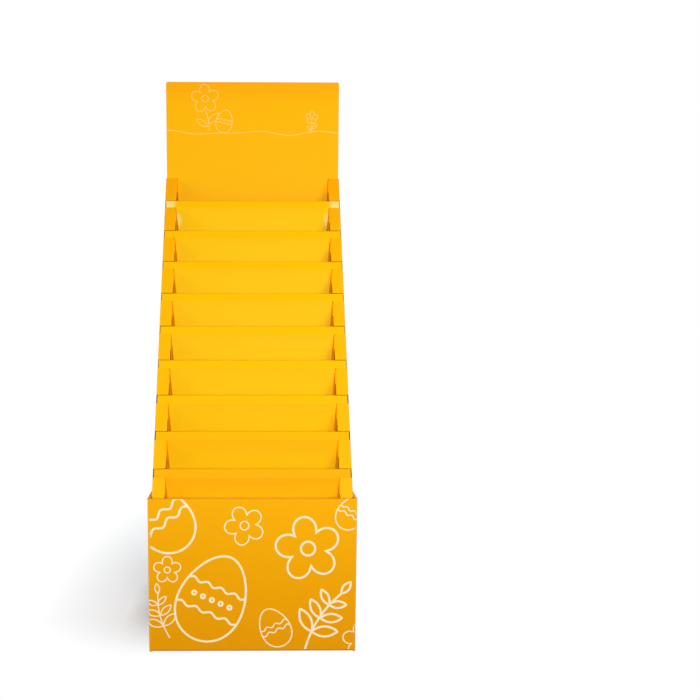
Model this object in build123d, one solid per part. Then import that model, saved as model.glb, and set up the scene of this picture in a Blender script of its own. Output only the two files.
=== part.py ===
from build123d import *
import os
from math import atan, cos, radians, sin, tan

# Cardboard display stand with stepped pockets, all sizes in millimetres.
# Origin on the floor under the middle of the stand, +Z up, front facing -Y.

# Corrugated board of each sheet, and the radius inside its folds
body_board = 3.0
header_board = 3.0
tray_board = 3.0
base_board = 5.0
fold_radius = 1.0

# Body: one sheet folded into the back, the two sides and the hollow front columns
body_width = 468.0
body_depth = 393.0
column_width = 30.0
slope_rise = 786.0
knee_drop = 47.0
return_gap = 0.5

# Header above the sides
header_height = 252.0
header_inset = 2.5
header_corner = 5.0
tongue_length = 200.0
tongue_clearance = 0.5
tongue_taper = 2.2

# Base around the foot of the body
base_height = 362.0
base_clearance = 1.5
minor_flap_length = 150.0
flap_seam = 1.0
layer_gap = 0.3

# Pocket trays down the slope
tier_pitch = 83.0
lip_height = 20.0
hem_gap = 0.4
hem_relief = 3.0
pocket_depth = 140.0
back_flap_height = 105.0
tray_side_clearance = 0.5
tray_back_clearance = 0.3
side_taper = 5.5

# Notches that hold the tray ears
ear_end_clearance = 0.5
notch_clearance = 0.6
notch_headroom = 0.3
slot_rise = 25.0
slot_land = 2.5

# Largest error in finding an edge by its place
tolerance = 0.01

# Overall sizes
base_width = body_width + 2 * (base_clearance + base_board)
base_depth = body_depth + 2 * (base_clearance + base_board)
body_bottom = 2 * base_board + layer_gap
side_top = base_height + slope_rise
total_height = side_top + header_height

# Planes across the stand, from front to back
body_front = -body_depth / 2
body_back = body_depth / 2
back_panel_face = body_back - body_board
header_face = back_panel_face - header_board

# The slope leaves the upright front at the knee and meets the header at the side tops
knee_z = base_height - knee_drop
slope_run = (header_face - body_front) / (side_top - knee_z)
slope_angle = atan(slope_run)

# Planes out to the right, mirrored to the left
body_side = body_width / 2
column_inside = body_side - column_width
ear_end = body_side - body_board - ear_end_clearance

# One crease per tier, a pitch below the one above, as long as it is above the knee
tier_count = int((side_top - knee_z) / tier_pitch)
tier_depth = tier_pitch * slope_run
creases = [side_top - (tier + 1) * tier_pitch for tier in range(tier_count)]


def slope_y(z, behind=0.0):
    """Depth of the slope at a height, or of a plane parallel to it and behind it."""
    return body_front + (z - knee_z) * slope_run + behind / cos(slope_angle)


def side_prism(points, x_low, x_high):
    """Solid from (y, z) points of its side view, between two x planes."""
    outline = make_face(Plane.YZ * Polyline(*points, close=True))
    return Pos(x_low, 0, 0) * extrude(outline, x_high - x_low, dir=(1, 0, 0))


def folded_sheet(line, board, view, width):
    """Sheet whose middle follows a line in one view, centred across that view."""
    return extrude(view * trace(line, board), width / 2, both=True)


def front_card(points, back, board):
    """Upright card from (x, z) points, with its two top corners rounded."""
    outline = make_face(Polyline(*points, close=True))
    outline = fillet(outline.vertices().group_by(Axis.Y)[-1], header_corner)
    return Pos(0, back, 0) * extrude(Plane.XZ * outline, board, dir=(0, -1, 0))


def header_outline():
    """Front view of the header above the side tops, from its lower left corner."""
    side = body_side - header_inset
    return [(-side, side_top), (side, side_top), (side, total_height), (-side, total_height)]


def front_column():
    """Side panel, front flange and inner return on the right, before its notches."""
    board = body_board
    front_line = [(body_front, body_bottom), (body_front, knee_z), (header_face, side_top)]
    rear_line = [(body_back, side_top), (body_back, body_bottom)]
    block = side_prism(front_line + rear_line, column_inside, body_side)

    def is_front_fold(edge):
        start, end = edge @ 0, edge @ 1
        off_front = [abs(tip.Y - max(body_front, slope_y(tip.Z))) for tip in (start, end)]
        return max(*off_front, abs(start.X - end.X)) < tolerance

    block = fillet(block.edges().filter_by(is_front_fold), board + fold_radius)
    hollow = side_prism(
        [
            (body_front + board, body_bottom),
            (body_front + board, knee_z - board * tan(slope_angle / 2)),
            (body_back, side_top + (body_back - slope_y(side_top, board)) / slope_run),
            (body_back, body_bottom),
        ],
        column_inside + board,
        body_side - board,
    )
    free_edge = side_prism(
        [
            (back_panel_face - return_gap, body_bottom),
            (back_panel_face - return_gap, side_top),
            (body_back, side_top),
            (body_back, body_bottom),
        ],
        column_inside,
        column_inside + board,
    )
    return block - hollow - free_edge


def tier_cuts(crease_z):
    """Notch across one column for a tray's ear, and the entry slot in its return."""
    lip_z = crease_z + lip_height
    notch_top = lip_z + notch_headroom
    notch_back = 2 * tray_board + hem_gap + notch_clearance
    in_front = -column_width
    notch = side_prism(
        [
            (slope_y(crease_z, in_front), crease_z),
            (slope_y(crease_z, notch_back), crease_z),
            (slope_y(notch_top, notch_back), notch_top),
            (slope_y(notch_top, in_front), notch_top),
        ],
        column_inside - column_width,
        body_side + column_width,
    )
    slot_top = lip_z + slot_rise
    slot_back = slope_y(crease_z) + tier_depth - slot_land
    slot = side_prism(
        [
            (slope_y(crease_z, body_board), crease_z),
            (slot_back, crease_z),
            (slot_back, slot_top),
            (slope_y(slot_top, body_board), slot_top),
        ],
        column_inside - column_width,
        column_inside + body_board,
    )
    return notch + slot


def body_wrap():
    """Back panel with its header extension, two sides and two notched columns."""
    column = front_column()
    back_panel = Pos(0, (back_panel_face + body_back) / 2, (body_bottom + side_top) / 2) * Box(
        body_width, body_board, side_top - body_bottom
    )
    plan = Rectangle(body_width, body_depth)
    plan = fillet(plan.vertices().group_by(Axis.Y)[-1], body_board + fold_radius)
    rounded = extrude(plan, side_top)
    body = (back_panel + column + mirror(column, Plane.YZ)) & rounded
    for crease_z in creases:
        cuts = tier_cuts(crease_z)
        body -= cuts + mirror(cuts, Plane.YZ)
    return body + front_card(header_outline(), body_back, body_board)


def header_card():
    """Printed card on the header, its shoulders on the columns, its tongue between them."""
    tongue_side = column_inside - tongue_clearance
    tongue_end = tongue_side - tongue_length * tan(radians(tongue_taper))
    tongue_bottom = side_top - tongue_length
    lower_left, lower_right, *top_corners = header_outline()
    tongue = [
        (-tongue_side, side_top),
        (-tongue_end, tongue_bottom),
        (tongue_end, tongue_bottom),
        (tongue_side, side_top),
    ]
    outline = [lower_left, *tongue, lower_right, *top_corners]
    return front_card(outline, back_panel_face, header_board)


def pocket_tray(crease_z):
    """Hemmed lip with ears on the slope, then an upright front, a floor and a back flap."""
    board = tray_board
    middle = board / 2
    lip_z = crease_z + lip_height
    turn = board + hem_gap / 2
    front_y = slope_y(crease_z)
    back_y = front_y + tier_depth - tray_back_clearance
    floor_z = lip_z - pocket_depth + middle

    def on_lip(behind, below):
        """Point at a depth behind the slope and a length down it from the lip's top."""
        return (
            slope_y(lip_z) + behind * cos(slope_angle) - below * sin(slope_angle),
            lip_z - behind * sin(slope_angle) - below * cos(slope_angle),
        )

    lip_length = lip_height / cos(slope_angle)
    hem_end = on_lip(turn + turn - middle, lip_length - hem_relief)
    hem_back = on_lip(turn + turn - middle, turn)
    hem_top = on_lip(turn, middle)
    hem_front = on_lip(middle, turn)
    crease = on_lip(middle, lip_length - middle * tan(slope_angle / 2))
    bend = fold_radius + middle
    path = [
        Line(hem_end, hem_back),
        ThreePointArc(hem_back, hem_top, hem_front),
        FilletPolyline(
            hem_front,
            crease,
            (front_y + middle, floor_z),
            (back_y - middle, floor_z),
            (back_y - middle, floor_z - middle + back_flap_height),
            radius=bend,
        ),
    ]
    tray = folded_sheet(path, board, Plane.YZ, 2 * ear_end)

    # Below the ears the sheet is narrower than the columns' opening and tapers
    top_side = column_inside - tray_side_clearance
    floor_side = top_side - (crease_z - floor_z) * tan(radians(side_taper))
    beside = Plane.XZ * make_face(
        Polyline(
            (top_side, crease_z),
            (body_side, crease_z),
            (body_side, floor_z - board),
            (floor_side, floor_z - board),
            close=True,
        )
    )
    trim = extrude(beside, body_depth, both=True)
    return tray - trim - mirror(trim, Plane.YZ)


def base_tray():
    """Four walls around the body, with two bottom flaps meeting below two short ones.
    The corner folds run on down to the floor, past the flaps' ends."""
    board = base_board
    middle = board / 2
    bend = fold_radius + middle
    corner = board + fold_radius
    wall_bottom = body_bottom + 2 * fold_radius
    outer = RectangleRounded(base_width, base_depth, corner)
    inner = RectangleRounded(base_width - 2 * board, base_depth - 2 * board, fold_radius)
    walls = Pos(0, 0, wall_bottom) * extrude(outer - inner, base_height - wall_bottom)
    flap_ends = Rectangle(base_width - 2 * corner, base_depth) + Rectangle(
        base_width, base_depth - 2 * corner
    )
    walls += extrude(outer - inner - flap_ends, wall_bottom)

    wall_y = base_depth / 2 - middle
    major_line = FilletPolyline(
        (wall_y, wall_bottom), (wall_y, middle), (flap_seam / 2, middle), radius=bend
    )
    major_flap = folded_sheet(major_line, board, Plane.YZ, base_width - 2 * corner)

    wall_x = base_width / 2 - middle
    flap_z = body_bottom - middle
    flap_end = base_width / 2 - minor_flap_length
    minor_line = FilletPolyline(
        (wall_x, wall_bottom), (wall_x, flap_z), (flap_end, flap_z), radius=bend
    )
    minor_flap = folded_sheet(minor_line, board, Plane.XZ, base_depth - 2 * corner)

    flaps = [major_flap, mirror(major_flap, Plane.XZ), minor_flap, mirror(minor_flap, Plane.YZ)]
    for flap in flaps:
        walls += flap
    return walls


pieces = {
    "base_tray": base_tray(),
    "body_wrap": body_wrap(),
    "header_card": header_card(),
}
for number, crease_z in enumerate(creases, start=1):
    pieces[f"pocket_tray_{number:02d}"] = pocket_tray(crease_z)

os.makedirs("parts", exist_ok=True)
for name, piece in pieces.items():
    export_step(piece, f"parts/{name}.step")
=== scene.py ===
import math
from functools import partial

import bmesh
import bpy
import numpy as np
from mathutils import Matrix, Vector


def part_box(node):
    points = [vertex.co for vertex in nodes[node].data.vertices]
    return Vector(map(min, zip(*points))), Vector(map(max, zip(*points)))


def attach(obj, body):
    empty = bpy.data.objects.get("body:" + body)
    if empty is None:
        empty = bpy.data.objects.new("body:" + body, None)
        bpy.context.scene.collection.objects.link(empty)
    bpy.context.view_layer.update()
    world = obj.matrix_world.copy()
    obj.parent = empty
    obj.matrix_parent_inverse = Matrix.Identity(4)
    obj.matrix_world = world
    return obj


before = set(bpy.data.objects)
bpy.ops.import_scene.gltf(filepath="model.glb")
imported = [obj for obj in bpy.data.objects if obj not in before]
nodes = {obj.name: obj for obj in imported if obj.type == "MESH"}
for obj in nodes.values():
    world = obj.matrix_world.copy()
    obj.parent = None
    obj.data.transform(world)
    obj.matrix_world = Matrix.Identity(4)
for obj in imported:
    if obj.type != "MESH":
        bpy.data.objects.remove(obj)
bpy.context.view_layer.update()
mm = 0.001


# Lowest and highest corner of a CAD node, in millimetres to the nearest thousandth
def cornersOf(name):
    return [np.round(np.array(corner) / mm, 3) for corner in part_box(name)]


# The stand in millimetres: what the boxes of the CAD nodes give, then what lies inside the boxes.
# Left and right mirror each other, so a side is a distance from the middle.
baseHigh = cornersOf("base_tray")[1]
bodyLow, bodyHigh = cornersOf("body_wrap")
cardLow, cardHigh = cornersOf("header_card")
trays = sorted(name for name in nodes if name.startswith("pocket_tray_"))
stand = {
    "baseSide": baseHigh[0],
    "baseBack": baseHigh[1],
    "baseTop": baseHigh[2],
    "bodySide": bodyHigh[0],
    "bodyFront": bodyLow[1],
    "bodyBack": bodyHigh[1],
    "headerSide": cardHigh[0],
    "headerFace": cardLow[1],
    "headerTop": cardHigh[2],
    "board": cardHigh[1] - cardLow[1],
    "tierPitch": cornersOf(trays[0])[1][2] - cornersOf(trays[1])[1][2],
    "baseBoard": 5.0,
    "baseCorner": 6.0,  # outer radius of the base's upright folds
    "columnInside": 204.0,  # the face of a column that looks at the pockets
    "kneeZ": 315.0,  # the upright front turns into the slope here
    "sideTop": 1148.0,
    "returnGap": 0.5,  # from the free edge of a column's return to the back panel
    "lipHeight": 20.0,
    "hemThickness": 6.4,
    "flapDrop": 35.0,  # from the top of a lip down to the top of the back flap
    "flute": 6.3,  # B flute, from wave to wave
    "baseFlute": 8.4,  # between C and A flute, in the thicker board of the base
}
slopeRun = (stand["headerFace"] - stand["bodyFront"]) / (stand["sideTop"] - stand["kneeZ"])
slopeAngle = math.atan(slopeRun)
print("stage 1: frame loaded, slope", round(math.degrees(slopeAngle), 2), "degrees")


# One hex colour as a linear colour: each channel divided, then raised by the sRGB curve
def linearColour(hexColour):
    channels = [int(hexColour[i:i + 2], 16) / 255 for i in (1, 3, 5)]
    return [c / 12.92 if c <= 0.04045 else ((c + 0.055) / 1.055) ** 2.4 for c in channels] + [1.0]


# Adds one node and gives its first output in use, or the output that out names. Inputs come in the
# order of the sockets in use, or by name with _ for a space. A name in small letters is a setting.
def addNode(tree, kind, *inputs, out=None, **named):
    made = tree.nodes.new("ShaderNode" + kind)
    for name in named:
        if name[0].islower():
            setattr(made, name, named[name])
    given = list(zip([socket for socket in made.inputs if socket.enabled], inputs))
    given += [(made.inputs[name.replace("_", " ")], named[name]) for name in named if name[0].isupper()]
    for socket, value in given:
        if isinstance(value, bpy.types.NodeSocket):
            tree.links.new(value, socket)
        else:
            socket.default_value = value
    if out:
        return made.outputs[out]
    return next((socket for socket in made.outputs if socket.enabled), None)


# An empty material, with the function that adds nodes to it
def newMaterial(name):
    material = bpy.data.materials.new(name)
    material.use_nodes = True
    material.node_tree.nodes.clear()
    return material, partial(addNode, material.node_tree)


# Place on the object in millimetres
def millimetres(node):
    return node("VectorMath", node("TexCoord", out="Object"), 1 / mm, operation="SCALE")


# How far a value lies past a plane or the plane's mirror image: its size less the plane's
def past(node, value, plane):
    return node("Math", node("Math", value, operation="ABSOLUTE"), plane, operation="SUBTRACT")


# Distance behind the plane of the slope, or of the upright front below the knee: how far y lies
# past the front at that height, times the cosine of the slope
def behindSlope(node, y, z):
    rise = node("Math", node("Math", z, stand["kneeZ"], operation="SUBTRACT"), 0.0, operation="MAXIMUM")
    front = node("Math", rise, slopeRun, stand["bodyFront"], operation="MULTIPLY_ADD")
    return node("Math", node("Math", y, front, operation="SUBTRACT"), math.cos(slopeAngle),
                operation="MULTIPLY")


# A sine along the sheet, one turn for each flute under its liner
def fluteWave(node, along, pitch):
    return node("Math", node("Math", along, 2 * math.pi / pitch, operation="MULTIPLY"), operation="SINE")


# What all the papers share: their shader, the relief of a height, and a faint glow, which is painted
# light that lifts the shade where a sheet lies in a narrow gap
def paperSurface(node, look, colour, roughness, height):
    relief = node("Bump", Strength=look["relief"], Distance=look["reliefDepth"], Height=height)
    glowColour, glowStrength = look.get("glow", ("#FFFFFF", 0.0))
    shader = node("BsdfPrincipled", Base_Color=colour, Roughness=roughness, IOR=look["ior"],
                  Specular_IOR_Level=look["specular"], Normal=relief,
                  Emission_Color=linearColour(glowColour), Emission_Strength=glowStrength)
    node("OutputMaterial", Surface=shader)


# Corrugated case board, white-lined, offset printed in one flat orange and matt varnished: an even
# satin colour with a faint mottle, and faint ribs where the flutes carry the liner
printLook = {
    "mottleSize": 38.0,  # mm, blotches of ink take-up
    "mottleDetail": 3.0,
    "mottleRoughness": 0.6,
    "mottleShare": 0.45,  # how far the blotches go toward the deeper ink
    "fibreSize": 1.6,  # mm, finer in truth, drawn this coarse to show
    "fibreDetail": 2.0,
    "ribShare": 0.006,
    "ribHeight": 0.6,
    "fibreHeight": 0.5,
    "roughness": 0.5,
    "roughnessSwing": 0.06,
    "specular": 0.08,  # matt varnish, little shine
    "ior": 1.45,
    "relief": 0.05,
    "reliefDepth": 0.0002,  # m
    "deepenMottle": 0.4,  # what is left of the blotches on a sheet that deepens along its height
    "deepenShare": 0.8,
    "wornFibre": (0.42, 0.7),  # at a fold fibres lose ink from the first level on, most at the second
    "wornShare": 0.30,
    "wornInk": "#FFE9B8",
    "glintCore": 0.3,  # share of a painted glint that is pale at full strength
    "glintColour": "#FFF3A0",
}


# Ink rubbed pale where two planes of the board meet in a fold, and less and less up to a reach away
def wornFold(node, look, ink, fibre, gaps):
    wornFrom, wornTo = look["wornFibre"]
    worn = node("MapRange", fibre, wornFrom, wornTo, 0.0, look["wornShare"])
    for gap in gaps:
        near = node("MapRange", node("Math", gap, operation="ABSOLUTE"), 0.0, look["foldReach"], 1.0, 0.0,
                    interpolation_type="SMOOTHSTEP")
        worn = node("Math", worn, near, operation="MULTIPLY")
    return node("Mix", worn, ink, linearColour(look["wornInk"]), data_type="RGBA")


# A painted highlight and its mirror image: a pale spot, which fades out by the distance from its
# middle in its own half sizes
def paintedGlintSpot(node, look, ink, place, spot):
    off = node("VectorMath", node("VectorMath", place, operation="ABSOLUTE"), (spot["x"], 0, spot["z"]),
               operation="SUBTRACT")
    scaled = node("VectorMath", off, (1 / spot["halfWidth"], 0, 1 / spot["halfHeight"]),
                  operation="MULTIPLY")
    pale = node("MapRange", node("VectorMath", scaled, operation="LENGTH"), look["glintCore"], 1.0,
                spot["share"], 0.0, interpolation_type="SMOOTHSTEP")
    return node("Mix", pale, ink, linearColour(look["glintColour"]), data_type="RGBA")


def offsetPrint(name, look):
    look = {**printLook, **look}
    material, node = newMaterial(name)
    place = millimetres(node)
    x, y, z = node("SeparateXYZ", place).node.outputs
    mottle = node("TexNoise", place, Scale=1 / look["mottleSize"], Detail=look["mottleDetail"],
                  Roughness=look["mottleRoughness"])
    fibre = node("TexNoise", place, Scale=1 / look["fibreSize"], Detail=look["fibreDetail"])

    share = node("Math", mottle, look["mottleShare"], operation="MULTIPLY")
    if "deepen" in look:
        start, end = look["deepen"]
        darkerAlongHeight = node("MapRange", z, start, end, 0.0, look["deepenShare"])
        share = node("Math", share, look["deepenMottle"], darkerAlongHeight, operation="MULTIPLY_ADD")
    share = node("Clamp", share)
    ink = node("Mix", share, linearColour(look["light"]), linearColour(look["deep"]), data_type="RGBA")
    # Painted light: each front is drawn paler toward its foot
    if "paintedFootLight" in look:
        paintedFootLight = look["paintedFootLight"]
        share = node("MapRange", behindSlope(node, y, z), 0.0, paintedFootLight["reach"], 0.0, paintedFootLight["share"])
        ink = node("Mix", share, ink, linearColour(paintedFootLight["ink"]), data_type="RGBA")

    # Where the flutes run up the sheet, their ribs follow one another across it, else up it
    across = node("Math", x if look["flutesUp"] else z, y, operation="ADD")
    rib = fluteWave(node, across, look["flute"])
    shade = node("Math", rib, look["ribShare"], 1.0 - look["ribShare"], operation="MULTIPLY_ADD")
    ink = node("VectorMath", ink, shade, operation="SCALE")
    if "fold" in look:
        ink = wornFold(node, look, ink, fibre, look["fold"](node, x, y, z))
    for spot in look.get("paintedGlints", ()):
        ink = paintedGlintSpot(node, look, ink, place, spot)

    roughness = node("MapRange", fibre, To_Min=look["roughness"] - look["roughnessSwing"],
                     To_Max=look["roughness"] + look["roughnessSwing"])
    ribbed = node("Math", rib, look["ribHeight"], operation="MULTIPLY")
    height = node("Math", fibre, look["fibreHeight"], ribbed, operation="MULTIPLY_ADD")
    paperSurface(node, look, ink, roughness, height)
    return material


# Unprinted kraft liner, as it comes off the paper machine: dull brown with long pale fibres and a
# few dark flecks, ribbed by the flutes under it
kraftLook = {
    "light": "#D8A865",
    "dark": "#BD8A48",
    "fleck": "#936A38",
    "fibreSize": 2.2,  # mm
    "fibreStretch": (1.0, 1.0, 0.25),  # the fibres run upright, four times as long as they are wide
    "fibreDetail": 4.0,
    "fleckSize": 0.9,  # mm
    "fleckDetail": 1.0,
    "fleckLevels": (0.64, 0.74),
    "fleckShare": 0.35,
    "ribHeight": 0.5,
    "roughness": 0.88,
    "specular": 0.2,
    "ior": 1.45,
    "relief": 0.25,
    "reliefDepth": 0.0003,  # m
}


def kraftLiner(name, look):
    look = {**kraftLook, **look}
    material, node = newMaterial(name)
    place = millimetres(node)
    x, y, z = node("SeparateXYZ", place).node.outputs
    stretched = node("Mapping", place, Scale=look["fibreStretch"])
    fibre = node("TexNoise", stretched, Scale=1 / look["fibreSize"], Detail=look["fibreDetail"])
    fleck = node("TexNoise", place, Scale=1 / look["fleckSize"], Detail=look["fleckDetail"])
    colour = node("Mix", fibre, linearColour(look["light"]), linearColour(look["dark"]), data_type="RGBA")
    fleckFrom, fleckTo = look["fleckLevels"]
    dots = node("MapRange", fleck, fleckFrom, fleckTo, 0.0, look["fleckShare"])
    colour = node("Mix", dots, colour, linearColour(look["fleck"]), data_type="RGBA")
    rib = fluteWave(node, node("Math", x, y, operation="ADD"), stand["flute"])
    height = node("Math", rib, look["ribHeight"], fibre, operation="MULTIPLY_ADD")
    paperSurface(node, look, colour, look["roughness"], height)
    return material


# Die-cut edge of corrugated board: two paper liners with the wave of the fluting between them, and
# painted shade where the flutes are open, for their hollows
edgeLook = {
    "paper": "#E8B264",
    "torn": "#D29A4C",  # blotches where the knife tore the paper
    "tornSize": 1.4286,  # mm
    "tornDetail": 3.0,
    # painted shade in the open flutes
    "open": "#B27A32",
    "liner": 0.42,  # mm, near 0.3 in truth, drawn thicker to show
    "wave": 0.36,  # mm, half the drawn thickness of the fluting
    "swing": 0.86,  # how much of the room between the liners the wave takes
    "flute": stand["flute"],
    "thickness": stand["board"],
    "roughness": 0.92,
    "specular": 0.15,
    "ior": 1.45,
    "relief": 0.5,
    "reliefDepth": 0.0004,  # m
}


# Paper is where the distance across the sheet is in a liner, or near the sine that runs along it
def cutEdge(name, sheet, look):
    look = {**edgeLook, **look}
    material, node = newMaterial(name)
    place = millimetres(node)
    x, y, z = node("SeparateXYZ", place).node.outputs
    across, along = sheet(node, x, y, z)
    inside = look["thickness"] / 2 - look["liner"]
    wave = node("Math", fluteWave(node, along, look["flute"]), inside * look["swing"], operation="MULTIPLY")
    offWave = node("Math", node("Math", across, wave, operation="SUBTRACT"), operation="ABSOLUTE")
    onWave = node("Math", offWave, look["wave"], operation="LESS_THAN")
    onLiner = node("Math", node("Math", across, operation="ABSOLUTE"), inside, operation="GREATER_THAN")
    paper = node("Math", onWave, onLiner, operation="MAXIMUM")
    torn = node("TexNoise", place, Scale=1 / look["tornSize"], Detail=look["tornDetail"])
    tone = node("Mix", torn, linearColour(look["paper"]), linearColour(look["torn"]), data_type="RGBA")
    colour = node("Mix", paper, linearColour(look["open"]), tone, data_type="RGBA")
    paperSurface(node, look, colour, look["roughness"], paper)
    return material


# Each sheet below gives, at a place on its cut edge, the distance across it from its middle and the
# distance along its edge, both in millimetres
def baseSheet(node, x, y, z):
    offSide = past(node, x, stand["baseSide"] - stand["baseBoard"] / 2)
    offBack = past(node, y, stand["baseBack"] - stand["baseBoard"] / 2)
    innerFace = -stand["baseBoard"] / 2 - 0.5  # mm, and half a millimetre to spare
    frontOrBack = node("Math", offBack, innerFace, operation="GREATER_THAN")
    across = node("Mix", frontOrBack, offSide, offBack, data_type="FLOAT")
    return across, node("Mix", frontOrBack, y, x, data_type="FLOAT")


def columnSheet(node, x, y, z):
    offPanel = past(node, x, stand["bodySide"] - stand["board"] / 2)
    offReturn = past(node, x, stand["columnInside"] + stand["board"] / 2)
    between = past(node, x, (stand["bodySide"] + stand["columnInside"]) / 2)
    outer = node("Math", between, 0.0, operation="GREATER_THAN")
    return node("Mix", outer, offReturn, offPanel, data_type="FLOAT"), y


def backSheet(node, x, y, z):
    return node("Math", y, stand["bodyBack"] - stand["board"] / 2, operation="SUBTRACT"), x


def headerSheet(node, x, y, z):
    return node("Math", y, stand["headerFace"] + stand["board"] / 2, operation="SUBTRACT"), x


# The lip's two layers lie one behind the other on the slope
def lipSheet(node, x, y, z):
    behind = behindSlope(node, y, z)
    hem = node("Math", behind, stand["hemThickness"] / 2, operation="GREATER_THAN")
    middle = node("Mix", hem, stand["board"] / 2, stand["hemThickness"] - stand["board"] / 2,
                  data_type="FLOAT")
    return node("Math", behind, middle, operation="SUBTRACT"), z


# Each fold below gives how far a place lies off the two planes that meet in it
def baseFold(node, x, y, z):
    return past(node, x, stand["baseSide"]), past(node, y, stand["baseBack"])


def columnFold(node, x, y, z):
    return past(node, x, stand["bodySide"]), behindSlope(node, y, z)


# Middle of every face of a node in millimetres, and its normal, each as three arrays
def facesOf(name):
    polygons = nodes[name].data.polygons
    middle = np.empty(len(polygons) * 3, np.float32)
    normal = np.empty(len(polygons) * 3, np.float32)
    polygons.foreach_get("center", middle)
    polygons.foreach_get("normal", normal)
    return (middle.reshape(-1, 3) / mm).T, normal.reshape(-1, 3).T


# Gives the faces of a node their finishes: pairs of a material and the faces that it goes on, where
# a later pair goes over an earlier one
def dress(name, finishes):
    mesh = nodes[name].data
    mesh.materials.clear()
    numbers = np.zeros(len(mesh.polygons), np.int32)
    for number, (material, chosen) in enumerate(finishes):
        mesh.materials.append(material)
        numbers[chosen] = number
    mesh.polygons.foreach_set("material_index", numbers)
    mesh.update()


# Depth of the slope's plane at a height, level with the front below the knee
def slopeDepth(z):
    return stand["bodyFront"] + np.maximum(z - stand["kneeZ"], 0) * slopeRun


# Every face is a printed skin, a kraft one or a cut edge. Its place tells which, and its normal,
# which points squarely, mostly or slightly one way by its share in that direction.
printed, kraft, cut = range(3)
squarely, mostly, slightly = 0.9, 0.5, 0.05
close = 0.3  # mm, a face this near a plane lies on it
slack = 1.0  # mm, where no other face is near

base = {
    "print": {
        "light": "#FDB400",
        "deep": "#EC9A00",
        "flute": stand["baseFlute"],
        "flutesUp": True,
        "deepen": (stand["baseTop"], 0.0),  # darker from here to here, in mm of height: partly the print, partly painted shade toward the floor
        "fold": baseFold,
        "foldReach": 5.0,
    },
    # Painted light: the base's inner kraft glows a little orange, which lifts its shade
    "kraft": {"glow": ("#D08020", 0.2)},
    # Painted highlight: the rim is drawn in light orange, nearly as its print, as it catches the light
    "edge": {
        "paper": "#FFC45A",
        "torn": "#F8B440",
        "open": "#E89E28",
        "flute": stand["baseFlute"],
        "thickness": stand["baseBoard"],
    },
    "wall": 8.0,  # mm, a little more than a wall and its fold
    "skin": 3.7,  # mm, the outer part of a wall and its fold
    "flapUnder": 8.0,  # mm, faces that look down below this are the outside of the bottom
    "flapInside": 12.0,  # mm, faces that look up below this are its inside
}

# Base: outer skin printed, inner skin kraft, rim and flap ends cut
(x, y, z), (nx, ny, nz) = facesOf("base_tray")
offWall = np.maximum(np.abs(x) - stand["baseSide"], np.abs(y) - stand["baseBack"])
sideways = nx * np.sign(x) * (np.abs(x) > stand["baseSide"] - base["wall"])
endways = ny * np.sign(y) * (np.abs(y) > stand["baseBack"] - base["wall"])
outward = sideways + endways > slightly
upright = np.abs(nz) < squarely
kinds = np.full(len(x), cut)
kinds[upright & outward & (offWall > -base["skin"])] = printed
kinds[upright & ~outward & (offWall > -base["wall"])] = kraft
kinds[(nz < -slightly) & (z < base["flapUnder"])] = printed
kinds[(nz > slightly) & (z < base["flapInside"])] = kraft
kinds[(np.abs(nz) < slightly) & (offWall < -base["wall"])] = cut
dress("base_tray", [
    (offsetPrint("base_offset_print", base["print"]), kinds == printed),
    (kraftLiner("base_kraft_liner", base["kraft"]), kinds == kraft),
    (cutEdge("base_die_cut_edge", baseSheet, base["edge"]), kinds == cut),
])

body = {
    "flangePrint": {
        "light": "#FEBB00",
        "deep": "#FAA600",
        "flute": stand["flute"],
        "flutesUp": True,
        # Darker toward the top, from here to here in mm of height
        "deepen": (850.0, stand["sideTop"]),
        "fold": columnFold,
        "foldReach": 3.5,
    },
    "sidePrint": {
        "light": "#FDAE00",
        "deep": "#F6A000",
        "flute": stand["flute"],
        "flutesUp": True,
        "fold": columnFold,
        "foldReach": 3.5,
    },
    "returnPrint": {
        "light": "#FEB300",
        "deep": "#FAA000",
        "flute": stand["flute"],
        "flutesUp": True,
        # Painted light: the returns glow, which lifts the shade in the narrow gaps beside the pocket fronts
        "glow": ("#F49C00", 0.42),
    },
    # Painted shade and bounce: the liner inside the columns is drawn dark amber, as only light off the
    # orange print reaches it, and glows a little as painted light
    "columnKraft": {"light": "#B8741C", "dark": "#9C5C12", "glow": ("#B85A00", 0.16)},
    # The flanges' cut feet hang over the gaps of the notches, and glow as painted light that lifts the
    # shade in the groove below them
    "footEdge": {"glow": ("#F0A020", 1.0)},
    # Painted shade: the back ends of the entry slots lie deep in the gaps and are drawn dark brown
    "slotEdge": {"paper": "#C88408", "torn": "#B47004", "open": "#925A00"},
    # Painted shade: the backs of the lower notches, seen past the ends of the ears, are drawn dark brown
    "notchEdge": {"paper": "#8A5204", "torn": "#7A4602", "open": "#5C3400"},
    "shadedTop": 600.0,  # mm, a notch above this has a plain cut edge at its back
    "flange": 5.0,  # mm behind the slope that a flange and its fold take
    "sideTurn": 0.7,  # the part of the front fold whose normal has this share outward goes with the side
    "backFold": 5.0,  # mm before the back's outside that its folds take
}

# Body: sides, flanges, returns and back printed outside and kraft inside, notches and slots cut
(x, y, z), (nx, ny, nz) = facesOf("body_wrap")
outward = nx * np.sign(x)
below = z < stand["sideTop"]
leaning = z > stand["kneeZ"]
upSlope = np.where(leaning, ny * math.sin(slopeAngle) + nz * math.cos(slopeAngle), nz)
offSlope = np.where(leaning, -ny * math.cos(slopeAngle) + nz * math.sin(slopeAngle), -ny)
behind = (y - slopeDepth(z)) * np.where(leaning, math.cos(slopeAngle), 1.0)
panelFace = stand["bodyBack"] - stand["board"]
inFlange = behind < body["flange"]
inPanel = y > panelFace - close
onSide = np.abs(x) > stand["bodySide"] - close
onReturn = (np.abs(x) < stand["columnInside"] + close) & (outward < -squarely)
insideReturn = np.abs(x) > stand["columnInside"] + slack
insideSide = np.abs(x) < stand["bodySide"] - stand["board"] + slack
inBackFold = (y > stand["bodyBack"] - body["backFold"]) & (np.abs(nz) < slightly)
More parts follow.
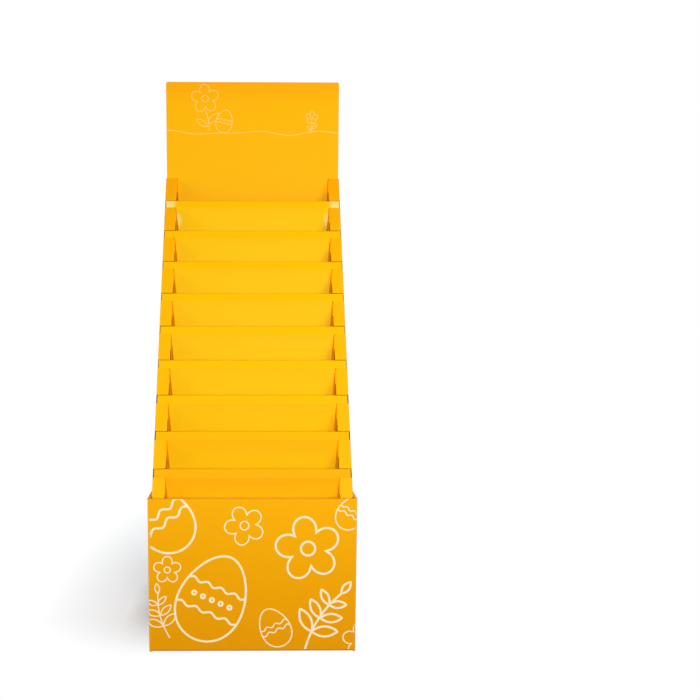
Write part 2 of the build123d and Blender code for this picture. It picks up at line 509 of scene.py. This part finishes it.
onReturnEnd = np.abs(y - panelFace + stand["returnGap"]) < close
kinds = np.full(len(x), cut)
kinds[onReturn | (onSide & (outward > mostly))] = printed
kinds[insideReturn & insideSide & (np.abs(nx) > squarely) & below] = kraft
kinds[inFlange & (offSlope > slightly) & (np.abs(upSlope) < slightly) & below] = printed
kinds[inFlange & (offSlope < -squarely)] = kraft
kinds[inBackFold & (ny > slightly) & ~onReturnEnd] = printed
kinds[(np.abs(y - panelFace) < close) & (ny < -squarely)] = kraft

# The finer finishes of its print and its cut edges, with the painted light and shade of its gaps
sidePrint = (kinds == printed) & ~onReturn & ((outward > body["sideTurn"]) | (ny > mostly))
columnCut = (kinds == cut) & ~inPanel
slotBack = columnCut & (np.abs(x) < stand["columnInside"] + stand["board"] + slack) & (ny < -squarely)
foot = columnCut & inFlange & leaning & (nz < -mostly)
notchBack = columnCut & ~inFlange & (np.abs(x) > stand["bodySide"] - stand["board"])
notchBack &= (offSlope > squarely) & (z < body["shadedTop"])
dress("body_wrap", [
    (offsetPrint("body_offset_print", body["flangePrint"]), kinds == printed),
    (kraftLiner("column_kraft_liner", body["columnKraft"]), kinds == kraft),
    (cutEdge("side_die_cut_edge", columnSheet, {}), columnCut),
    (cutEdge("back_die_cut_edge", backSheet, {}), (kinds == cut) & inPanel),
    (offsetPrint("return_offset_print", body["returnPrint"]), (kinds == printed) & onReturn),
    (offsetPrint("side_offset_print", body["sidePrint"]), sidePrint),
    (cutEdge("painted_shade_slot_edge", columnSheet, body["slotEdge"]), slotBack),
    (cutEdge("flange_foot_edge", columnSheet, body["footEdge"]), foot),
    (cutEdge("shaded_notch_edge", columnSheet, body["notchEdge"]), notchBack),
])

header = {
    "print": {
        "light": "#FEB900",
        "deep": "#FDAA00",
        "flute": stand["flute"],
        "flutesUp": True,
        # Darker toward the top, from here to here in mm of height: painted shade where less light reaches
        "deepen": (1340.0, stand["headerTop"]),
    },
}

# Header card: front printed, rear kraft, edges cut
ny = facesOf("header_card")[1][1]
plainKraft = kraftLiner("kraft_liner", {})
dress("header_card", [
    (offsetPrint("header_offset_print", header["print"]), ny < -squarely),
    (plainKraft, ny > squarely),
    (cutEdge("header_die_cut_edge", headerSheet, {}), np.abs(ny) <= squarely),
])

tray = {
    "print": {
        "light": "#FFC200",
        "deep": "#FDAA00",
        "flute": stand["flute"],
        "flutesUp": False,
        # Darker toward the lower tiers, from here to here in mm of height: partly the print, partly painted
        # shade
        "deepen": (600.0, 390.0),
        # Painted light: each front is drawn paler toward its foot, by the distance behind the slope in mm,
        # to lift the shade beside the lip below
        "paintedFootLight": {"reach": 27.0, "share": 0.62, "ink": "#FFD000"},
        # Painted highlights at the ends of the top pocket: glints on its ears, and on its front beside them
        "paintedGlints": [
            {"x": 223.0, "z": 1075.0, "halfWidth": 23.0, "halfHeight": 24.0, "share": 0.55},
            {"x": 200.0, "z": 1031.0, "halfWidth": 13.0, "halfHeight": 26.0, "share": 0.55},
        ],
    },
    "hemInside": 1.5,  # mm either side of the hem's middle, which hold its inner faces
    "hemEnd": 0.2,  # mm behind the lip's front layer where the hem's cut end starts
    "hemEndDown": -0.8,  # how far down that end looks
}

# Trays: the print is on the front, the underside and, folded over, the back of the hem. Cut are the
# ends, the ears' lower edges, the top of the back flap and the end of the hem.
trayPrint = offsetPrint("tray_offset_print", tray["print"])
trayEdge = cutEdge("tray_die_cut_edge", lipSheet, {})
for tier, name in enumerate(trays, start=1):
    (x, y, z), (nx, ny, nz) = facesOf(name)
    creaseZ = stand["sideTop"] - tier * stand["tierPitch"]
    flapTop = creaseZ + stand["lipHeight"] - stand["flapDrop"]
    pocketMiddle = slopeDepth(creaseZ) + stand["tierPitch"] * slopeRun / 2
    behind = (y - slopeDepth(z)) * math.cos(slopeAngle)
    outsideHem = np.abs(behind - stand["hemThickness"] / 2) > tray["hemInside"]
    outsidePocket = ny * np.sign(y - pocketMiddle) > nz
    outside = np.where(z > creaseZ + close, outsideHem, outsidePocket)
    onEar = (z > creaseZ - slack) & (np.abs(x) > stand["columnInside"] - slack)
    onHemEnd = (z > creaseZ) & (behind > stand["board"] + tray["hemEnd"]) & (nz < tray["hemEndDown"])
    isCut = (np.abs(nx) > mostly) | (onEar & (nz < -squarely)) | onHemEnd
    isCut |= (np.abs(z - flapTop) < close) & (nz > squarely)
    dress(name, [(trayPrint, outside & ~isCut), (plainKraft, ~outside & ~isCut), (trayEdge, isCut)])
print("stage 2: printed, kraft and cut faces set on", len(nodes), "nodes")

# Line artwork knocked out of the orange, as strokes a tenth of a millimetre proud, in millimetres
artwork = {
    "boldStroke": 5.0,
    "fineStroke": 2.8,
    "hairStroke": 1.2,
    "proud": 0.05,
    "layer": 0.007,  # each next stroke lies this much higher, so that crossings stay clean
    "layers": 17,  # and this many strokes on, the heights start again
    "sunk": 0.06,
    "capPoints": 4,  # points of a rounded stroke end
    "capEnd": 0.25,  # radians off the tip where it stops, so that the tip has a width
    "bareLiner": {"light": "#FFF3D2", "dark": "#FBE6B4"},
    "hairLine": {"light": "#FFDD90", "dark": "#FFD57C"},
}

# White liner left bare of ink under the varnish: warm white with a little fibre. The header's hair
# lines fill in with ink a little and read as pale yellow.
bareLook = {
    "fibreSize": 1.6667,  # mm
    "fibreDetail": 3.0,
    "roughness": 0.55,
    "specular": 0.2,
    "ior": 1.45,
    "relief": 0.1,
    "reliefDepth": 0.0002,  # m
}


def strokePaper(name, look):
    look = {**bareLook, **look}
    material, node = newMaterial(name)
    fibre = node("TexNoise", millimetres(node), Scale=1 / look["fibreSize"], Detail=look["fibreDetail"])
    colour = node("Mix", fibre, linearColour(look["light"]), linearColour(look["dark"]), data_type="RGBA")
    paperSurface(node, look, colour, look["roughness"], fibre)
    return material


# Unrolled base wall: the distance u round the base, from the middle of its front to the right, and
# the height v give the point on the rounded rectangle, and off is how far it stands off the wall.
# The rectangle is the middle of the front, a quarter circle for each corner, and the middle again.
def onBaseWall(u, v, off):
    radius = stand["baseCorner"]
    counts = [1, 9, 9, 9, 9, 1]
    turn = np.concatenate([[0], np.tile(np.linspace(0, math.pi / 2, 9), 4), [0]])
    angle = turn + math.pi / 2 * np.repeat([-1, -1, 0, 1, 2, 3], counts)
    middleX = (stand["baseSide"] - radius) * np.repeat([0, 1, 1, -1, -1, 0], counts)
    middleY = (stand["baseBack"] - radius) * np.repeat([-1, -1, 1, 1, -1, -1], counts)
    lineX, lineY = middleX + radius * np.cos(angle), middleY + radius * np.sin(angle)
    length = np.concatenate([[0], np.cumsum(np.hypot(np.diff(lineX), np.diff(lineY)))])
    u = np.mod(u, length[-1])
    facing = np.interp(u, length, angle)
    wallX = np.interp(u, length, lineX) + off * np.cos(facing)
    wallY = np.interp(u, length, lineY) + off * np.sin(facing)
    return np.stack([wallX, wallY, v], -1)


# Header: u and v are its own x and z, and off is toward the front
def onHeader(u, v, off):
    return np.stack([u, np.full_like(u, stand["headerFace"]) - off, v], -1)


# Stroke along a path of (u, v) points: a flat bar whose four corners lie half a stroke to the left
# and right of the path, on the board and proud of it. At an open end the bar is rounded: it reaches
# on by the cosine of an angle and is as wide as its sine.
def strokeMesh(path, width, closed, place, layer):
    path = np.asarray(path, float)
    ahead = np.roll(path, -1, 0) - np.roll(path, 1, 0)
    if not closed:
        ahead[0], ahead[-1] = path[1] - path[0], path[-1] - path[-2]
    ahead /= np.linalg.norm(ahead, axis=1, keepdims=True)
    half = np.full(len(path), width / 2)
    if not closed:
        turn = np.linspace(math.pi / 2, artwork["capEnd"], artwork["capPoints"])[1:]
        reach, narrow = np.cos(turn)[:, None] * width / 2, np.sin(turn) * width / 2
        first, last = ahead[:1].repeat(len(turn), 0), ahead[-1:].repeat(len(turn), 0)
        path = np.concatenate([path[0] - first * reach[::-1], path, path[-1] + last * reach])
        ahead = np.concatenate([first, ahead, last])
        half = np.concatenate([narrow[::-1], half, narrow])
    left = np.stack([-ahead[:, 1], ahead[:, 0]], -1) * half[:, None]
    sides = np.stack([path + left, path - left, path - left, path + left], 1)
    proud = artwork["proud"] + artwork["layer"] * (layer % artwork["layers"])
    heights = np.tile([proud, proud, -artwork["sunk"], -artwork["sunk"]], (len(path), 1))
    points = place(sides[..., 0].ravel(), sides[..., 1].ravel(), heights.ravel())
    count = len(path)
    rows = np.arange(count if closed else count - 1)[:, None]
    corner = rows * 4 + np.arange(4)
    beside = rows * 4 + (np.arange(4) + 1) % 4
    onward = ((rows + 1) % count - rows) * 4
    faces = np.stack([corner, beside, beside + onward, corner + onward], -1).reshape(-1, 4)
    if not closed:
        tip = 4 * (count - 1)
        faces = np.concatenate([faces, [[3, 2, 1, 0], [tip, tip + 1, tip + 2, tip + 3]]])
    return points, faces


# One closed mesh from many strokes, cropped between the print's lowest and highest line
def strokePiece(name, art, strokes, place, material):
    points, faces, count = [], [], 0
    for layer, (path, width, closed) in enumerate(strokes):
        own, quads = strokeMesh(path, width, closed, place, layer)
        points.append(own * mm)
        faces.append(quads + count)
        count += len(own)
    mesh = bpy.data.meshes.new(name)
    mesh.from_pydata(np.concatenate(points).tolist(), [], np.concatenate(faces).tolist())
    shape = bmesh.new()
    shape.from_mesh(mesh)
    for height, up in ((art["lowest"], -1), (art["highest"], 1)):
        everything = shape.verts[:] + shape.edges[:] + shape.faces[:]
        crop = bmesh.ops.bisect_plane(shape, geom=everything, plane_co=(0, 0, height * mm),
                                      plane_no=(0, 0, up), clear_outer=True)
        rim = [part for part in crop["geom_cut"] if isinstance(part, bmesh.types.BMEdge)]
        bmesh.ops.holes_fill(shape, edges=rim, sides=0)
    bmesh.ops.recalc_face_normals(shape, faces=shape.faces[:])
    shape.to_mesh(mesh)
    shape.free()
    mesh.materials.append(material)
    piece = bpy.data.objects.new(name, mesh)
    bpy.context.scene.collection.objects.link(piece)
    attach(piece, "root")


# Curve from one point to another, pushed sideways in the middle by a bend: the straight line plus a
# parabola across it
def bowed(start, end, bend, count=24):
    t = np.linspace(0, 1, count)[:, None]
    start, end = np.array(start, float), np.array(end, float)
    across = np.array([-(end - start)[1], (end - start)[0]])
    return start + (end - start) * t + across * bend * 4 * t * (1 - t)


# Ring: the cosine and sine of an angle, times its radius
def ring(radius, at=(0, 0), count=20):
    t = np.linspace(0, 2 * math.pi, count, endpoint=False)
    return np.stack([at[0] + radius * np.cos(t), at[1] + radius * np.sin(t)], -1)


# Leaf: two bowed lines between its ends, joined to a loop
def leaf(start, end, bend):
    there, back = bowed(start, end, bend), bowed(end, start, bend)
    return np.concatenate([there[:-1], back[:-1]])


# Each motif is a list of (path, closed) round its own middle, for its height in millimetres. The
# values of its shape are shares of that height.
eggShape = {
    "halfWidth": 0.36,
    "halfHeight": 0.5,
    "narrowing": 0.17,  # toward the top, and as much wider toward the foot
    "bandInset": 0.012,
    "fineBands": {"levels": (0.13, -0.17), "swing": 0.018, "waves": 4},
    "wideBands": {"levels": (0.06, -0.08), "swing": 0.03, "waves": 3},
    "dotPlaces": (-0.21, -0.105, 0, 0.105, 0.21),
    "dotLevel": -0.02,
    "dotRadius": 0.022,
}


# Egg: an ellipse whose width shrinks toward its top by a share of the sine of the angle
def eggLine(size, count=72):
    t = np.linspace(0, 2 * math.pi, count, endpoint=False)
    width = eggShape["halfWidth"] * (1 - eggShape["narrowing"] * np.sin(t))
    return np.stack([width * np.cos(t), eggShape["halfHeight"] * np.sin(t)], -1) * size


# Bands across an egg: at each level a sine wave between the egg's two sides
def eggBands(size, bands, count=48):
    t = np.linspace(-1, 1, count)
    wave = bands["swing"] * np.sin(t * bands["waves"] * math.pi)
    lines = []
    for level in bands["levels"]:
        turn = math.asin(level / eggShape["halfHeight"])
        width = eggShape["halfWidth"] * math.cos(turn) * (1 - eggShape["narrowing"] * math.sin(turn))
        lines.append((np.stack([(width - eggShape["bandInset"]) * t, level + wave], -1) * size, False))
    return lines


def egg(size):
    radius, level = eggShape["dotRadius"] * size, eggShape["dotLevel"] * size
    dots = [(ring(radius, (x * size, level), count=14), True) for x in eggShape["dotPlaces"]]
    return [(eggLine(size), True), *eggBands(size, eggShape["fineBands"]), *dots]


def plainEgg(size):
    return [(eggLine(size), True), *eggBands(size, eggShape["wideBands"])]


flowerShape = {
    "inner": 0.52,  # how near its middle the line comes between two petals, as a share of its radius
    "petalWaves": 2.5,  # half the number of petals
    "petalBlunt": 0.7,  # under 1 blunts the petals
    "eye": 0.22,  # radius of the ring in the middle
}


# Flower: petals where the radius follows the size of the cosine of two and a half turns
def petals(radius, count=110):
    t = np.linspace(0, 2 * math.pi, count, endpoint=False)
    swell = np.abs(np.cos(flowerShape["petalWaves"] * t)) ** flowerShape["petalBlunt"]
    r = radius * (flowerShape["inner"] + (1 - flowerShape["inner"]) * swell)
    return np.stack([r * np.sin(t), r * np.cos(t)], -1)


def flower(size):
    radius = size * 0.5
    return [(petals(radius), True), (ring(flowerShape["eye"] * radius), True)]


# Flower on a bowed stem with a leaf on each side, standing on the lower end of its stem
tallFlowerShape = {
    "head": 0.29,
    "headEye": 0.24,
    "stemFoot": (0.05, -0.5),
    "stemBend": 0.05,
    "stemOverlap": 0.16,  # share of the head that the stem is raised by, so that it meets the petals
    "leaves": [  # start, end and bend
        ((0.035, -0.3), (0.27, -0.1), 0.2),
        ((0.02, -0.36), (-0.2, -0.2), -0.2),
    ],
}


def tallFlower(size):
    shape = tallFlowerShape
    head = size * shape["head"]
    middle = np.array([0, size * 0.5 - head])
    foot = np.array(shape["stemFoot"]) * size
    stem = bowed(middle - [0, head], foot, shape["stemBend"], count=30)
    stem += [0, head * shape["stemOverlap"]]
    lines = [(petals(head) + middle, True), (ring(head * shape["headEye"], middle), True), (stem, False)]
    for start, end, bend in shape["leaves"]:
        lines.append((leaf(np.array(start) * size, np.array(end) * size, bend), True))
    return lines


# Sprig: a bowed stem with three pairs of leaves that shorten upward, and one leaf at its tip
sprigShape = {
    "foot": -0.5,
    "tip": 0.42,
    "stemBend": 0.08,
    "levels": (-0.24, -0.02, 0.2),
    "rootX": -0.06,
    "longest": 0.30,
    "shortening": 0.05,
    "leafRise": 0.62,  # a leaf's rise for its reach
    "leafBend": 0.2,
    "tipLeaf": (0.02, 0.62),
    "tipBend": 0.22,
}


def sprig(size):
    shape = sprigShape
    tip = (0, size * shape["tip"])
    lines = [(bowed((0, size * shape["foot"]), tip, shape["stemBend"], count=30), False)]
    for number, level in enumerate(shape["levels"]):
        reach = size * (shape["longest"] - shape["shortening"] * number)
        root = np.array([shape["rootX"] * size, level * size])
        for side in (1, -1):
            end = root + [side * reach, reach * shape["leafRise"]]
            lines.append((leaf(root, end, side * shape["leafBend"]), True))
    lines.append((leaf(tip, np.array(shape["tipLeaf"]) * size, shape["tipBend"]), True))
    return lines


# A motif's strokes at (u, v), its lines turned by an angle in degrees
def placed(motif, u, v, size, turn, width):
    c, s = math.cos(math.radians(turn)), math.sin(math.radians(turn))
    spin = np.array([[c, s], [-s, c]])
    return [(path @ spin + [u, v], width, closed) for path, closed in motif(size)]


# The print of the base, twice round it, each motif at a distance round the base and a height
baseArt = {
    "repeats": 2,
    "lowest": 6.3,  # mm, just above the folds of the bottom
    "highest": 361.9,
    "motifs": [  # motif, u, v, size and turn in mm and degrees, stroke
        (egg, -92, 128, 212, -24, "boldStroke"),
        (flower, 128, 246, 150, 10, "boldStroke"),
        (sprig, 168, 78, 172, -32, "boldStroke"),
        (plainEgg, -208, 318, 176, 38, "boldStroke"),
        (flower, -18, 300, 92, 24, "fineStroke"),
        (sprig, -206, 92, 118, 14, "fineStroke"),
        (plainEgg, 52, 58, 96, 26, "fineStroke"),
        (flower, -196, 196, 64, 0, "fineStroke"),
        (plainEgg, 226, 330, 84, -30, "fineStroke"),
        (tallFlower, 330, 168, 236, 8, "boldStroke"),
        (egg, 478, 262, 186, 22, "boldStroke"),
        (sprig, 566, 96, 150, 24, "boldStroke"),
        (flower, 420, 84, 90, 12, "fineStroke"),
        (plainEgg, 402, 330, 88, -22, "fineStroke"),
        (flower, 590, 296, 84, -10, "fineStroke"),
        (flower, 252, 28, 84, 5, "fineStroke"),
    ],
}

# Length round the base: that of the sharp rectangle, less what its rounded corners cut off
perimeter = 4 * (stand["baseSide"] + stand["baseBack"]) - (8 - 2 * math.pi) * stand["baseCorner"]
strokes = []
for repeat in range(baseArt["repeats"]):
    start = repeat * perimeter / baseArt["repeats"]
    for motif, u, v, size, turn, stroke in baseArt["motifs"]:
        strokes += placed(motif, start + u, v, size, turn, artwork[stroke])
bareLiner = strokePaper("bare_white_liner", artwork["bareLiner"])
strokePiece("base_line_artwork", baseArt, strokes, onBaseWall, bareLiner)

# Header: a thin rolling ground line, the sum of two sines, with flowers and an egg standing on it
headerArt = {
    "groundLevel": 1268.0,
    "groundGap": 0.2,  # mm that the ground line ends short of the header's sides
    "groundPoints": 160,
    "waves": [(3.6, 60.0, 33.0), (2.4, 0.0, 21.0)],  # swing, shift and mm for a radian
    "lowest": 1150.0,
    "highest": 1399.0,
    "motifs": [  # motif, x, z, size and turn in mm and degrees
        (tallFlower, -126, 1330, 128, 3),
        (plainEgg, -76, 1298, 60, -12),
        (tallFlower, 158, 1296, 56, -4),
    ],
}
groundEnd = stand["headerSide"] - headerArt["groundGap"]
across = np.linspace(-groundEnd, groundEnd, headerArt["groundPoints"])
waves = [swing * np.sin((across + shift) / radian) for swing, shift, radian in headerArt["waves"]]
ground = np.stack([across, headerArt["groundLevel"] + sum(waves)], -1)
strokes = [(ground, artwork["hairStroke"], False)]
for motif, u, v, size, turn in headerArt["motifs"]:
    strokes += placed(motif, u, v, size, turn, artwork["hairStroke"])
hairLine = strokePaper("part_inked_hair_line", artwork["hairLine"])
strokePiece("header_line_artwork", headerArt, strokes, onHeader, hairLine)
print("stage 3: line artwork drawn")

# What lights the stand: the level of the white world, which the white paper shares, and square
# softboxes turned to one point, with places and sizes in m and power in W
studio = {
    "worldLevel": 0.22,
    "aim": (0, 0, 0.75),
    "softboxes": {
        "front_softbox": {"place": (0.1, -2.3, 0.94), "size": 0.7, "power": 29.0},
        "high_right_softbox": {"place": (2.3, -1.5, 2.1), "size": 1.6, "power": 43.0},
        "left_softbox": {"place": (-3.0, -0.45, 0.9), "size": 1.3, "power": 50.0},
        "back_softbox": {"place": (0.9, 3.2, 1.5), "size": 1.6, "power": 84.0},
    },
}

# White studio paper. Its shading shows only on a given ground beside and behind the base and is
# mixed into plain white within a hand's breadth of it, so that the shadow's reach is painted.
floorLook = {
    "reach": 12.0,  # m
    "level": -0.0002,  # m, just under the base
    "paper": "#D5DBE1",  # a little blue, against the orange light off the stand
    "beside": "#959FA9",  # painted shadow: darker paper against the base's left wall, where hardly any light comes
    "glow": "#595F65",
    "shadowMiddle": (-0.135, 0.085, 0),  # m, middle and half sides of the ground in full shadow
    "shadowHalf": (0.115, 0, 1),
    "shadowFade": 0.31,  # m outside that ground where the paper is plain white
    "shadowStretch": (1, 0.3, 1),  # behind the origin a metre counts as this much, so it runs further
    "besideMiddle": (-0.12, 0, 0),  # the left half of the base's own ground
    "besideHalf": (0.12, 0.203, 1),
    "besideFade": 0.09,
}


# One for rays that come straight from the camera or by way of a mirror or glass, else nought
def seenDirectly(node):
    path = node("LightPath").node.outputs
    mirrored = node("Math", path["Is Camera Ray"], path["Is Glossy Ray"], operation="MAXIMUM")
    return node("Math", mirrored, path["Is Transmission Ray"], operation="MAXIMUM")


# White as the camera sees it, and dimmer as a light
def whiteLevel(node, direct):
    return node("Mix", direct, studio["worldLevel"], 1.0, data_type="FLOAT")


# Distance outside a rectangle on the floor: the length of how far the place lies past each half side
def outsideGround(node, middle, half, stretch=(1, 1, 1)):
    place = node("TexCoord", out="Object")
    stretched = node("VectorMath", place, stretch, operation="MULTIPLY")
    nearer = node("VectorMath", place, stretched, operation="MINIMUM")
    off = node("VectorMath", node("VectorMath", nearer, middle, operation="SUBTRACT"), operation="ABSOLUTE")
    beyond = node("VectorMath", node("VectorMath", off, half, operation="SUBTRACT"), (0, 0, 0),
                  operation="MAXIMUM")
    return node("VectorMath", beyond, operation="LENGTH")


def paperFloor(name, look):
    material, node = newMaterial(name)
    # Painted shadow: the paper is darker toward the left half of the base's own ground
    offBase = outsideGround(node, look["besideMiddle"], look["besideHalf"])
    beside = node("MapRange", offBase, 0.0, look["besideFade"], 1.0, 0.0)
    colour = node("Mix", beside, linearColour(look["paper"]), linearColour(look["beside"]), data_type="RGBA")
    direct = seenDirectly(node)
    glow = node("Emission", linearColour(look["glow"]), direct)
    shaded = node("AddShader", node("BsdfDiffuse", colour), glow)
    # Painted shadow's reach: outside its ground the floor is mixed to plain white
    offShadow = outsideGround(node, look["shadowMiddle"], look["shadowHalf"], look["shadowStretch"])
    whitened = node("MapRange", offShadow, 0.0, look["shadowFade"], 0.0, 1.0)
    white = node("Emission", linearColour("#FFFFFF"), whiteLevel(node, direct))
    node("OutputMaterial", Surface=node("MixShader", whitened, shaded, white))
    return material


reach, level = floorLook["reach"], floorLook["level"]
floorMesh = bpy.data.meshes.new("studio_floor")
corners = [(-reach, -reach, level), (reach, -reach, level), (reach, reach, level), (-reach, reach, level)]
floorMesh.from_pydata(corners, [], [(0, 1, 2, 3)])
floorMesh.materials.append(paperFloor("white_paper_floor", floorLook))
floor = bpy.data.objects.new("studio_floor", floorMesh)
bpy.context.scene.collection.objects.link(floor)

# White world: plain white to the camera, and a low even light on the stand
world = bpy.data.worlds.new("studio_world")
world.use_nodes = True
bpy.context.scene.world = world
world.node_tree.nodes.clear()
node = partial(addNode, world.node_tree)
sky = node("Background", linearColour("#FFFFFF"), whiteLevel(node, seenDirectly(node)))
node("OutputWorld", Surface=sky)

for name, box in studio["softboxes"].items():
    light = bpy.data.lights.new(name, "AREA")
    light.shape = "SQUARE"
    light.size = box["size"]
    light.energy = box["power"]
    softbox = bpy.data.objects.new(name, light)
    softbox.location = box["place"]
    facing = Vector(studio["aim"]) - Vector(box["place"])
    softbox.rotation_euler = facing.to_track_quat("-Z", "Y").to_euler()
    bpy.context.scene.collection.objects.link(softbox)

# Camera fitted to the front view: place in mm, turns in radians, lens in mm, and lens shift
view = {
    "place": (1.527, -1877.893, 780.929),
    "yaw": 0.00912,
    "pitch": 0.09626,
    "roll": 0.00128,
    "lens": 38.463,
    "sensor": 36.0,
    "shift": (0.1287, 0.0529),
}
yaw, pitch, roll = view["yaw"], view["pitch"], view["roll"]
ahead = Vector((math.sin(yaw) * math.cos(pitch), math.cos(yaw) * math.cos(pitch), -math.sin(pitch)))
right = Vector((math.cos(yaw), -math.sin(yaw), 0))
up = right.cross(ahead)
turnedRight = right * math.cos(roll) + up * math.sin(roll)
turnedUp = up * math.cos(roll) - right * math.sin(roll)
cameraData = bpy.data.cameras.new("photo_camera")
cameraData.lens = view["lens"]
cameraData.sensor_width = view["sensor"]
cameraData.shift_x, cameraData.shift_y = view["shift"]
camera = bpy.data.objects.new("photo_camera", cameraData)
axes = Matrix([turnedRight, turnedUp, -ahead]).transposed().to_4x4()
camera.matrix_world = Matrix.Translation(Vector(view["place"]) * mm) @ axes
bpy.context.scene.collection.objects.link(camera)
bpy.context.scene.camera = camera
bpy.context.scene.view_settings.view_transform = "Standard"
print("stage 4: studio and camera set")
